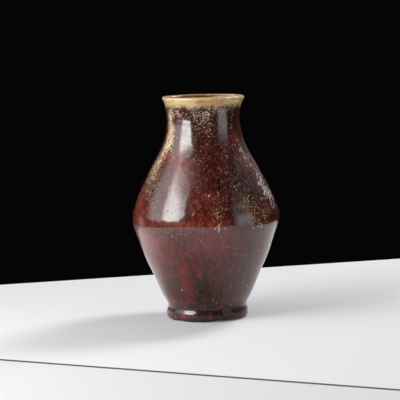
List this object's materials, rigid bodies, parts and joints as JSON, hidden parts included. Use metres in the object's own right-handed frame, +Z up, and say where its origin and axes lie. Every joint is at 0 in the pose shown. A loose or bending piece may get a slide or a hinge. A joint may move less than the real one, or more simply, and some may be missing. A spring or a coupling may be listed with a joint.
{
  "type": "baluster vase",
  "caption": "Glazed stoneware flower vase: wide belly with a soft ridge, short neck, flared pale lip, tapered lower body and rolled foot.",
  "frame": {"origin": "centre of the foot's standing face", "axes": "+Z up along the vase's axis of turning, -Y towards the viewer of the picture, +X to the viewer's right"},
  "size_m": [0.1318, 0.1318, 0.2],
  "materials": {
    "stoneware": "unglazed, fine and matt",
    "slip": "fired clay slip, matt",
    "red_glaze": "glossy mottled copper red with dark and ochre patches",
    "cream_glaze": "glossy cream and ochre",
    "liner_glaze": "glossy brown",
    "well_glaze": "thin satin brown"
  },
  "bodies": {
    "root": {"foot_ring": "stoneware", "foot_luting_slip": "slip", "lower_body": "stoneware", "belly_luting_slip": "slip", "shoulder": "stoneware", "neck_luting_slip": "slip", "neck": "stoneware", "outer_glaze": "red_glaze", "lip_glaze": "cream_glaze", "liner_glaze": "liner_glaze", "well_glaze": "well_glaze"}
  },
  "joints": []
}
